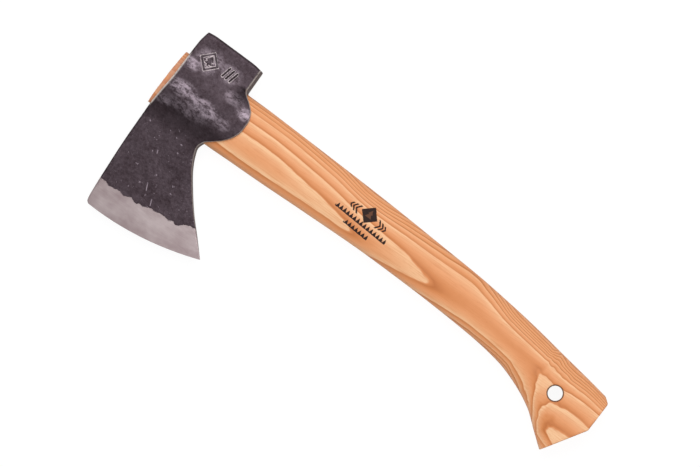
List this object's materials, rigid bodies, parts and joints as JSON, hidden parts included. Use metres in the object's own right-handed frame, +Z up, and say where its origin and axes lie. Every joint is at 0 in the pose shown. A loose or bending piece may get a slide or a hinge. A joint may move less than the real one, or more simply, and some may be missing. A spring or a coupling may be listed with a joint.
{
  "type": "hatchet",
  "caption": "One-hand forestry hatchet: bearded forged head with lugs, wedged on a curved wooden handle with a hooked knob and a lanyard hole.",
  "frame": {"origin": "centre of the footprint at the height of the surface the hatchet lies on", "axes": "+X along the handle from the head to the knob, +Y from the cutting edge to the poll, +Z up through the thickness"},
  "size_m": [0.3396, 0.1304, 0.0244],
  "materials": {
    "forged_steel": "dark forge scale on the cheeks, ground and honed at the edge",
    "hickory": "oiled, smooth, long grain along the handle",
    "wedge_wood": "sawn end grain, oiled",
    "clip_steel": "plain pressed steel"
  },
  "bodies": {
    "root": {"axe_head": "forged_steel", "handle": "hickory", "wooden_wedge": "wedge_wood", "steel_clip": "clip_steel"}
  },
  "joints": []
}
